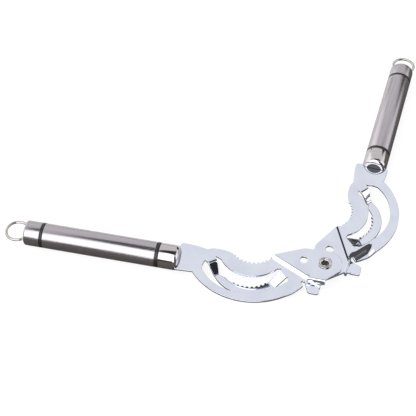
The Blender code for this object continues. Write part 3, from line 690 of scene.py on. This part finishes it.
def jaw_outline():
    """The blank's outer edge, anticlockwise, in mm."""
    lip = HANDLE_OFFSET + TUBE_RADIUS + 1.4
    tang_half = 5.5
    handle_edge = [(NECK_END, lip - 2.0), (NECK_END - 0.7, lip - 0.6), (NECK_END - 2.0, lip),
                   (NECK_END - 6.1, lip - 0.2), (SHOULDER_AT + 1.4, lip - 0.7)]
    outer = arc(OUTER_ARC, angle_on(OUTER_ARC, (SHOULDER_AT, lip - 1.0)),
                angle_on(OUTER_ARC, (11.2, 20.3)), 70)
    fold_end = TAB_FOLD_AT + TAB_FLANGE_RUN
    tab = [(14.4, 16.9), SLIT_POINT, (11.6, fold_end + 0.5), (8.6, TAB_TIP_AT - 1.0), (7.4, TAB_TIP_AT),
           (1.8, TAB_TIP_AT), (1.0, TAB_TIP_AT - 0.8), (0.6, fold_end + 0.9), (-0.4, fold_end),
           (TAB_SIDE, fold_end), (TAB_SIDE, TAB_FOLD_AT)]
    wing = [(-10.9, 5.0)] + arc((0.0, 0.0, WING_RADIUS), 158.0, 250.0, 24)
    wing += [(8.0, -10.9), (15.4, -10.6), (17.2, -10.0), (37.0, -0.2), STEP_TIP]
    teeth = toothed_arc(TOOTH_ARC, angle_on(TOOTH_ARC, (38.6, 3.4)), angle_on(TOOTH_ARC, (64.4, 3.4)),
                        TOOTH_COUNT, TOOTH_DEPTH)
    margin = 0.5
    wave = [(65.6, margin + 1.8), (68.6, margin + 0.7), (72.4, margin + 0.1), (76.4, margin),
            (80.0, margin + 0.4), (82.2, margin + 1.4), (84.0, margin + 1.9), (86.4, margin + 1.4),
            (SHOULDER_AT + 2.4, margin + 0.5), (NECK_END - 7.6, margin + 0.1), (NECK_END - 3.0, margin),
            (NECK_END - 1.4, margin + 0.4), (NECK_END - 0.6, margin + 1.7), (NECK_END, margin + 4.9)]
    tang = [(NECK_END, HANDLE_OFFSET - tang_half), (NECK_END + TANG_LENGTH, HANDLE_OFFSET - tang_half),
            (NECK_END + TANG_LENGTH, HANDLE_OFFSET + tang_half), (NECK_END, HANDLE_OFFSET + tang_half)]
    return handle_edge + outer + tab + wing + teeth + wave + tang


def crescent_sides():
    """The window's inner arc, handle end, outer arc and pivot end, in order round it."""
    inner = arc(CRESCENT_INNER, 145.5, 34.5, 40)
    handle_end = [(76.6, 6.9), (80.4, 8.6), (83.2, 12.2), (84.3, 16.6)]
    outer = arc(CRESCENT_OUTER, 35.5, 122.0, 40)
    pivot_end = [(31.4, 26.0), (25.6, 21.4), (22.7, 18.2), (23.7, 14.2), (28.6, 8.4)]
    return inner, handle_end, outer, pivot_end


def tongue_sides():
    """The tongue's inner edge, with its teeth, and its outer edge, from the handle to the pivot."""
    root = (*TONGUE_CENTRE, TONGUE_INNER)
    inner = [(72.0, 16.9)] + arc(root, 46.0, 62.0, 8)[:-1] + toothed_arc(root, 62.0, 137.0, 8, 1.2)
    return inner, arc((*TONGUE_CENTRE, TONGUE_OUTER), 35.9, 139.0, 44)


WINDOW_INNER, WINDOW_HANDLE_END, WINDOW_OUTER, WINDOW_PIVOT_END = crescent_sides()
TONGUE_IN_SIDE, TONGUE_OUT_SIDE = tongue_sides()
# Each leg: the line where it leaves the plate, and the line where it reaches the tongue.
HANDLE_LEG = ((WINDOW_HANDLE_END[0], WINDOW_HANDLE_END[2]), (TONGUE_IN_SIDE[0], TONGUE_OUT_SIDE[0]))
PIVOT_LEG = ((WINDOW_PIVOT_END[-1], WINDOW_PIVOT_END[-2]), (TONGUE_IN_SIDE[-1], TONGUE_OUT_SIDE[-1]))
TONGUE_AND_LEGS = TONGUE_IN_SIDE + list(PIVOT_LEG[0]) + TONGUE_OUT_SIDE[::-1] + list(HANDLE_LEG[0][::-1])
SLOT_INNER = WINDOW_INNER + WINDOW_HANDLE_END[:1] + TONGUE_IN_SIDE + WINDOW_PIVOT_END[-1:]
SLOT_OUTER = WINDOW_HANDLE_END[2:] + WINDOW_OUTER + WINDOW_PIVOT_END[:-1] + TONGUE_OUT_SIDE[::-1]
print(len(jaw_outline()), "points in the jaw's outer edge before its corners are rounded")


# %% [markdown]
# ## The pressing
#
# The die then lifts the wing, folds the tab down and pushes the tongue down to the table. A real
# bend has a radius, so each slope here starts and ends softly. One function gives the height of the
# middle of the sheet at any place on the blank.

# %% Heights
def soft_ramp(share, ease=0.16):
    """0 to 1, straight in the middle and eased at both ends."""
    share = max(0.0, min(1.0, share))
    steep = 1 / (1 - ease)
    if share < ease:
        return steep * share * share / (2 * ease)
    if share > 1 - ease:
        return 1 - steep * (1 - share) ** 2 / (2 * ease)
    return steep * (share - ease / 2)


LEVEL = HANDLE_LEVEL
WING_RISE = {side: (span(side + "_jaw_plate", 2)[1] - SHEET / 2) - LEVEL for side in SIDES}
ROOT_TOLERANCE = 0.3         # mm round the tongue that still belongs to it


def leg_share(point, leg):
    from_plate = abs(distance_past(leg[0], point))
    from_tongue = abs(distance_past(leg[1], point))
    return from_plate / (from_plate + from_tongue)


def sheet_height(point, side):
    """Height of the middle of the sheet above the table, in mm."""
    u, v = point
    near_tongue = 22.0 < u < 85.0 and 5.0 < v < 31.0
    if near_tongue and (contains(TONGUE_AND_LEGS, point)
                        or away_from(TONGUE_AND_LEGS, point) < ROOT_TOLERANCE):
        around = angle_on(TONGUE_CENTRE, point)
        lowered = 1.0
        if around < TONGUE_FLAT[0]:
            lowered = soft_ramp((leg_share(point, HANDLE_LEG) - 0.22) / 0.78, 0.3)
        elif around > TONGUE_FLAT[1]:
            lowered = soft_ramp(leg_share(point, PIVOT_LEG))
        return LEVEL + (SHEET / 2 - LEVEL) * lowered
    past_step = distance_past((STEP_TIP, STEP_FOOT), point)
    outside_slit = u > SLIT_POINT[0] - 0.7 and v > SLIT_POINT[1] - 0.4
    if past_step > 0.0 and u < STEP_TIP[0] + 0.1 and not outside_slit:
        height = LEVEL + WING_RISE[side] * soft_ramp(past_step / STEP_RUN)
        return height - TAB_DROP * soft_ramp((v - TAB_FOLD_AT) / TAB_FLANGE_RUN)
    past_crease = distance_past((STRIP_TURN, STRIP_CREASE_END), point)
    past_edge = distance_past((STRIP_EDGE_END, STRIP_TURN), point)
    if past_crease > 0.0 and past_edge > 0.0 and u < STRIP_TURN[0]:
        into_strip = soft_ramp(past_crease / STRIP_RUN) * soft_ramp(past_edge / STRIP_RUN)
        return LEVEL - STRIP_DROP[side] * into_strip
    return LEVEL


def rows_beside(line, offsets, spacing=0.8):
    """Points in rows beside a line, at the given distances to its left."""
    (start_u, start_v), (end_u, end_v) = line
    length = math.hypot(end_u - start_u, end_v - start_v)
    across = (-(end_v - start_v) / length, (end_u - start_u) / length)
    count = max(2, round(length / spacing))
    points = []
    for offset in offsets:
        for index in range(count + 1):
            share = index / count
            points.append((start_u + (end_u - start_u) * share + across[0] * offset,
                           start_v + (end_v - start_v) * share + across[1] * offset))
    return points


def bend_points():
    """Where the surface needs points of its own: on the step, the tab, both legs and the strip."""
    shares = [-0.08, 0.0, 0.08, 0.16, 0.3, 0.5, 0.7, 0.84, 0.92, 1.0, 1.08]
    points = rows_beside((STEP_TIP, STEP_FOOT), [share * STEP_RUN for share in shares])
    points += rows_beside(((12.6, TAB_FOLD_AT), (TAB_SIDE, TAB_FOLD_AT)),
                          [-share * TAB_FLANGE_RUN for share in shares])
    for (plate_a, plate_b), (tongue_a, tongue_b) in (HANDLE_LEG, PIVOT_LEG):
        for row in range(-1, 26):
            share = row / 24
            first = Vector(plate_a).lerp(Vector(tongue_a), share)
            second = Vector(plate_b).lerp(Vector(tongue_b), share)
            points += [tuple(first.lerp(second, step / 9)) for step in range(10)]
    for row in range(16):
        for column in range(16):
            points.append((14.0 + row * 1.4, 18.0 + column * 1.0))
    # The wing beside the fold, so that no long triangle runs from the wing's edge down the fold.
    for row in range(24):
        points += [(-10.5 + row, 13.9 - 0.9 * column) for column in range(8)]
    return points


# %% [markdown]
# ## From blank to sheet
#
# The blank is filled with triangles by a Delaunay triangulation, then lifted. The two faces lie half
# a sheet to either side of the middle, measured square to the slope, so the sheet keeps its
# thickness through every bend. Round the edge runs a small radius in a few steps: it is this
# rounded edge that draws the thin bright and dark lines along a piece of polished sheet.

# %% Pressed sheet
EDGE_RADIUS = 0.28
FLAT_RIM = 0.10              # a flat strip inside the radius keeps the faces' shading flat
EDGE_STEPS = 3
EDGE_CLEARANCE = 0.6         # between an edge and the nearest point of a bend
CLOSEST = 0.03               # points nearer than this, in a tight corner, become one
STEEPEST = 6                 # a slope above this is a cut in the sheet, not a bend


def edge_rings():
    """(inset, height from the middle) of each ring round an edge, from the top face to the bottom."""
    half = SHEET / 2
    rings = [(EDGE_RADIUS + FLAT_RIM, half)]
    for step in range(EDGE_STEPS + 1):
        angle = math.radians(90 * step / EDGE_STEPS)
        rings.append((EDGE_RADIUS * (1 - math.sin(angle)), half - EDGE_RADIUS * (1 - math.cos(angle))))
    return rings + [(into, -height) for into, height in rings[::-1]]


def lifted(point, offset, height):
    """A place on the pressed sheet: the middle at this point, then offset square to the slope."""
    probe = 0.02
    here = height(point)
    slope_u = (height((point[0] + probe, point[1])) - here) / probe
    slope_v = (height((point[0], point[1] + probe)) - here) / probe
    if max(abs(slope_u), abs(slope_v)) > STEEPEST:
        slope_u = slope_v = 0.0
    length = math.sqrt(1 + slope_u * slope_u + slope_v * slope_v)
    return (point[0] - slope_u / length * offset, point[1] - slope_v / length * offset,
            here + offset / length)


def pressed_sheet(outline, holes, extra, height):
    """A bmesh of a pressed sheet with rounded edges. Holes run clockwise."""
    loops = [outline] + holes
    rings = edge_rings()
    coords = []
    edges = []
    # As vectors, so that a thin triangle is tested against the very places that it was made from.
    flat_edges = [[Vector(point) for point in inset(loop, rings[0][0])] for loop in loops]
    for loop in flat_edges:
        first = len(coords)
        coords += loop
        edges += [(first + index, first + (index + 1) % len(loop)) for index in range(len(loop))]
    for point in extra:
        in_or_near_hole = any(contains(hole, point) or away_from(hole, point) < EDGE_CLEARANCE
                              for hole in holes)
        if contains(outline, point) and away_from(outline, point) > EDGE_CLEARANCE and not in_or_near_hole:
            coords.append(Vector(point))
    flat, _, faces, origins, _, _ = delaunay_2d_cdt(coords, edges, [], 0, 1e-5)
    place_of = {}
    for index, sources in enumerate(origins):
        for source in sources:
            place_of[source] = index

    shape = bmesh.new()
    faces_kept = []
    for face in faces:
        middle = (sum(flat[i].x for i in face) / len(face), sum(flat[i].y for i in face) / len(face))
        in_a_hole = any(contains(hole, middle) for hole in flat_edges[1:])
        if contains(flat_edges[0], middle) and not in_a_hole:
            faces_kept.append(face)
    skins = []
    for offset in (SHEET / 2, -SHEET / 2):
        skins.append({i: shape.verts.new(lifted(flat[i], offset, height))
                      for i in sorted({i for face in faces_kept for i in face})})
    for face in faces_kept:
        shape.faces.new([skins[0][i] for i in face])
        shape.faces.new([skins[1][i] for i in reversed(face)])
    first = 0
    for loop in loops:
        count = len(loop)
        ring_verts = [[skins[0][place_of[first + index]] for index in range(count)]]
        for into, offset in rings[1:-1]:
            ring = inset(loop, into)
            ring_verts.append([shape.verts.new(lifted(point, offset, height)) for point in ring])
        ring_verts.append([skins[1][place_of[first + index]] for index in range(count)])
        for upper, lower in zip(ring_verts, ring_verts[1:]):
            join_rings(shape, lower, upper)
        first += count
    bmesh.ops.remove_doubles(shape, verts=shape.verts, dist=CLOSEST)
    return shape


def join_rings(shape, first, second):
    """Faces between two closed rings of as many points."""
    for index in range(len(first)):
        after = (index + 1) % len(first)
        corners = [first[index], first[after], second[after], second[index]]
        if len(set(corners)) == 4:
            shape.faces.new(corners)


def clockwise(points):
    area = 0.0
    for before, after in zip([points[-1]] + points, points):
        area += before[0] * after[1] - after[0] * before[1]
    return points if area < 0 else points[::-1]


# %% Both jaws
CORNER_RADIUS = 0.45
EDGE_SPACING = 1.2
EYELET_HOLE = (0.0, 0.0, 3.35)                        # centre u, centre v, radius
WING_HOLE = (15.0, 0.0, 2.9)
OUTLINE = filled_in(rounded(jaw_outline(), CORNER_RADIUS), EDGE_SPACING)
HOLES = [filled_in(rounded(slot, CORNER_RADIUS), EDGE_SPACING) for slot in (SLOT_INNER, SLOT_OUTER)]
HOLES += [arc(hole, 0, 360, 48)[:-1] for hole in (EYELET_HOLE, WING_HOLE)]
HOLES = [clockwise(hole) for hole in HOLES]
BENDS = bend_points()
for side in SIDES:
    jaw = pressed_sheet(OUTLINE, HOLES, BENDS, lambda point, side=side: sheet_height(point, side))
    print(side, "jaw:", len(jaw.verts), "points and", len(jaw.faces), "faces")
    stand_for(side + "_jaw_plate", jaw)


# %% [markdown]
# ## Turned pieces
#
# Ferrules, bands, tubes, caps and the eyelet are all turned, so each is a closed profile spun round
# an axis. Every corner of a profile has a small radius of its own: even a "sharp" machined edge is
# broken, and that is where it catches the light.

# %% Profiles and cuts
TURNED_SEGMENTS = 96


def eased(corners, steps=4):
    """A closed profile from (along, radius, ease): each corner is rounded by its ease."""
    result = []
    count = len(corners)
    for index, (along, radius, ease) in enumerate(corners):
        corner = Vector((along, radius))
        before = Vector(corners[index - 1][:2])
        after = Vector(corners[(index + 1) % count][:2])
        if ease <= 0.0:
            result.append((along, radius))
            continue
        into = (corner - before).normalized()
        out = (after - corner).normalized()
        first = corner - into * min(ease, 0.49 * (corner - before).length)
        last = corner + out * min(ease, 0.49 * (after - corner).length)
        for step in range(steps + 1):
            share = step / steps
            # Weighted so that a square corner becomes a true quarter circle.
            weights = ((1 - share) ** 2, 2 * share * (1 - share) * math.sqrt(0.5), share ** 2)
            point = (first * weights[0] + corner * weights[1] + last * weights[2]) / sum(weights)
            result.append((point.x, point.y))
    return result


def spun(profile, upright=False, segments=TURNED_SEGMENTS):
    """A closed profile of (along, radius) spun round the handle's axis, or round the pivot's."""
    shape = bmesh.new()
    rings = []
    for along, radius in profile:
        if radius < 1e-6:
            rings.append(None)
            continue
        ring = []
        for index in range(segments):
            angle = 2 * math.pi * (index + 0.5) / segments
            across, up = radius * math.cos(angle), radius * math.sin(angle)
            place = (along, HANDLE_OFFSET + across, HANDLE_LEVEL + up)
            ring.append(shape.verts.new((across, up, along) if upright else place))
        rings.append(ring)
    for index, first in enumerate(rings):
        second = rings[(index + 1) % len(rings)]
        if first and second:
            join_rings(shape, first, second)
        elif first or second:
            shape.faces.new(first or second)
    bmesh.ops.recalc_face_normals(shape, faces=shape.faces)
    return shape


def block(low, high):
    """A box between two corners, in mm in the arm's frame."""
    shape = bmesh.new()
    size = Vector(high) - Vector(low)
    middle = (Vector(high) + Vector(low)) / 2
    matrix = Matrix.Translation(middle) @ Matrix.Diagonal((*size, 1.0))
    bmesh.ops.create_cube(shape, size=1.0, matrix=matrix)
    return shape


def cut_away(shape, tools):
    """Subtracts bmesh tools from a bmesh, and returns the result."""
    meshes = []
    for piece in [shape] + tools:
        mesh = bpy.data.meshes.new("cut")
        piece.to_mesh(mesh)
        piece.free()
        meshes.append(mesh)
    body = bpy.data.objects.new("cut", meshes[0])
    helpers = [body]
    bpy.context.scene.collection.objects.link(body)
    for mesh in meshes[1:]:
        helper = bpy.data.objects.new("cut", mesh)
        helpers.append(helper)
        bpy.context.scene.collection.objects.link(helper)
        modifier = body.modifiers.new("cut", "BOOLEAN")
        modifier.operation = "DIFFERENCE"
        modifier.solver = "EXACT"
        modifier.object = helper
    evaluated = body.evaluated_get(bpy.context.evaluated_depsgraph_get())
    result = bmesh.new()
    result.from_mesh(evaluated.to_mesh())
    evaluated.to_mesh_clear()
    for helper in helpers:
        bpy.data.objects.remove(helper, do_unlink=True)
    return result


print("turned pieces have", TURNED_SEGMENTS, "segments")

# %% [markdown]
# ## The handle
#
# From the jaw outwards: the ferrule, with a domed nose and a slot that the jaw's neck sits in; a
# rubber ring; the tube; a second ring; the cap. The ring stations are read from the frame, so that
# each piece ends exactly where its CAD node ends.

# %% Handle pieces
NOSE_LENGTH = 3.6
NOSE_FLAT = 5.6              # radius of the flat end face, which is painted black
TUBE_WALL = 0.9
REAR_BORE = 2.8
BORE_PAST_TANG = 1.6
SLOT_REACH = 20.0            # past both sides of the ferrule
POCKET_HALF = 5.8            # round the tang
CAP_WALL = 1.3
CAP_END = 1.6
# (what it is, wall, ease of its outer corners, and of its inner ones)
SLEEVES = [("_front_band", TUBE_WALL, 0.35, 0.0), ("_rear_band", 2.4, 0.3, 0.0),
           ("_handle_tube", TUBE_WALL, 0.2, 0.1)]
END_FACE_PAINTED_DARK = dark_end_face_finish()
GAP = 0.3
for side in SIDES:
    front, spigot_end = span(side + "_front_ferrule")
    back = span(side + "_front_band")[0] - GAP
    nose = [(front, 0.0), (front, NOSE_FLAT - 0.5)]
    for step in range(15):
        angle = math.radians(90.0 * step / 14)
        nose.append((front + NOSE_LENGTH * (1 - math.cos(angle)),
                     NOSE_FLAT + (TUBE_RADIUS - NOSE_FLAT) * math.sin(angle)))
    rest = [(back, TUBE_RADIUS, 0.18), (back, TUBE_RADIUS - TUBE_WALL - GAP, 0.0),
            (spigot_end, TUBE_RADIUS - TUBE_WALL - GAP, 0.3), (spigot_end, REAR_BORE, 0.0)]
    bore_end = NECK_END + TANG_LENGTH + BORE_PAST_TANG
    shape = spun(nose + eased([(front + NOSE_LENGTH, TUBE_RADIUS, 0.0)] + rest)[1:]
                 + [(bore_end, REAR_BORE), (bore_end, 0.0)])
    half_slot = SHEET / 2 + GAP
    slot = block((front - 3.0, HANDLE_OFFSET - SLOT_REACH, HANDLE_LEVEL - half_slot),
                 (NECK_END + GAP, HANDLE_OFFSET + SLOT_REACH, HANDLE_LEVEL + half_slot))
    pocket = block((front - 1.0, HANDLE_OFFSET - POCKET_HALF, HANDLE_LEVEL - half_slot),
                   (NECK_END + TANG_LENGTH + GAP, HANDLE_OFFSET + POCKET_HALF, HANDLE_LEVEL + half_slot))
    slotted = cut_away(shape, [slot, pocket])
    ferrule = stand_for(side + "_front_ferrule", slotted, smooth_angle=30)
    # The end face, which the slot runs through, is painted glossy black: a painted dark reflection of the
    # dark that the steel face mirrors.
    ferrule.data.materials.append(END_FACE_PAINTED_DARK)
    places = ferrule.data.attributes["arm_place"].data
    for face in ferrule.data.polygons:
        if all(places[index].vector.x < front * MM + 1e-6 for index in face.vertices):
            face.material_index = 1

    for name, wall, ease, inner_ease in SLEEVES:
        start, end = span(side + name)
        inner = TUBE_RADIUS - wall
        stand_for(side + name, spun(eased([(start, inner, inner_ease), (start, TUBE_RADIUS, ease),
                                           (end, TUBE_RADIUS, ease), (end, inner, inner_ease)])))
    start, end = span(side + "_rear_cap")
    cap_bore = TUBE_RADIUS - CAP_WALL
    cup = spun(eased([(start, cap_bore, 0.1), (start, TUBE_RADIUS, 0.2), (end, TUBE_RADIUS, 1.4),
                      (end, 0.0, 0.0), (end - CAP_END, 0.0, 0.0), (end - CAP_END, cap_bore, 0.0)], steps=8))
    stand_for(side + "_rear_cap", cup)
print("each handle has a ferrule, a tube, two rings and a cap")

# %% [markdown]
# ## Hanging loops
#
# Round wire, bent into a nearly closed loop. The path is a few straight and round stretches, and
# smoothing it rounds the bends that a bending tool leaves where the legs turn out of the cap.

# %% Loops
LOOP_WIRE = 1.9
LOOP_RADIUS = 8.3
LOOP_LEG_SPREAD = 6.2
LOOP_LEG_DEPTH = 5.5
LOOP_STAND_OFF = 1.0


def swept_wire(path, radius, sides=20):
    """A round wire along a flat path of (u, v), at the handle's level, with closed ends."""
    shape = bmesh.new()
    rings = []
    for index, place in enumerate(path):
        before = Vector(path[max(0, index - 1)])
        after = Vector(path[min(len(path) - 1, index + 1)])
        along = (after - before).normalized()
        ring = []
        for step in range(sides):
            angle = 2 * math.pi * step / sides
            across = radius * math.cos(angle)
            ring.append(shape.verts.new((place[0] - along.y * across, place[1] + along.x * across,
                                         HANDLE_LEVEL + radius * math.sin(angle))))
        rings.append(ring)
    for first, second in zip(rings, rings[1:]):
        join_rings(shape, first, second)
    shape.faces.new(rings[0])
    shape.faces.new(rings[-1])
    bmesh.ops.recalc_face_normals(shape, faces=shape.faces)
    return shape


def smoothed_path(points, passes):
    for _ in range(passes):
        inner = [((a[0] + 2 * b[0] + c[0]) / 4, (a[1] + 2 * b[1] + c[1]) / 4)
                 for a, b, c in zip(points, points[1:], points[2:])]
        points = [points[0]] + inner + [points[-1]]
    return points


for side in SIDES:
    cap_end = span(side + "_rear_cap")[1]
    behind = math.sqrt(LOOP_RADIUS ** 2 - LOOP_LEG_SPREAD ** 2)
    meets_leg = math.degrees(math.atan2(LOOP_LEG_SPREAD, -behind))
    circle = (cap_end + LOOP_STAND_OFF + behind, HANDLE_OFFSET, LOOP_RADIUS)
    round_part = arc(circle, meets_leg, -meets_leg, 90)
    legs = [(cap_end - LOOP_LEG_DEPTH + 0.5 * step, LOOP_LEG_SPREAD) for step in range(12)]
    path = [(u, HANDLE_OFFSET + v) for u, v in legs] + round_part
    path += [(u, HANDLE_OFFSET - v) for u, v in legs[::-1]]
    wire = swept_wire(smoothed_path(path, 5), LOOP_WIRE / 2)
    stand_for(side + "_hanging_loop", wire)
print("two hanging loops of", LOOP_WIRE, "mm wire")

# %% [markdown]
# ## The eyelet
#
# One tubular eyelet holds the two wings together. Its flange is dished by the flaring tool: a round
# outer edge, a shallow ring, and a lip that rolls into the bore.

# %% Eyelet
low, high = span("pivot_eyelet", 2)
bore, shank, flange = 2.2, 3.3, 5.0
washer_low = span("pivot_washer", 2)[0]
wing_top = span("left_jaw_plate", 2)[1]
eyelet_profile = eased([
    (low, bore + 0.5, 0.2), (low, flange - 0.8, 0.3), (washer_low - 0.3, flange - 0.8, 0.2),
    (washer_low - 0.3, shank, 0.0), (wing_top + 0.3, shank, 0.0), (wing_top + 0.3, flange, 0.25),
    (high - 0.3, flange, 0.3), (high, flange - 0.8, 0.35), (high - 0.5, flange - 1.3, 0.3),
    (high - 0.05, bore + 0.8, 0.45), (high - 1.0, bore + 0.1, 0.5), (low + 0.6, bore, 0.4)])
stand_for("pivot_eyelet", spun(eyelet_profile, upright=True))
shown = [item.name for item in bpy.data.objects if item.name.endswith("_shown")]
print(len(shown), "pieces stand for CAD nodes:", ", ".join(sorted(shown)))
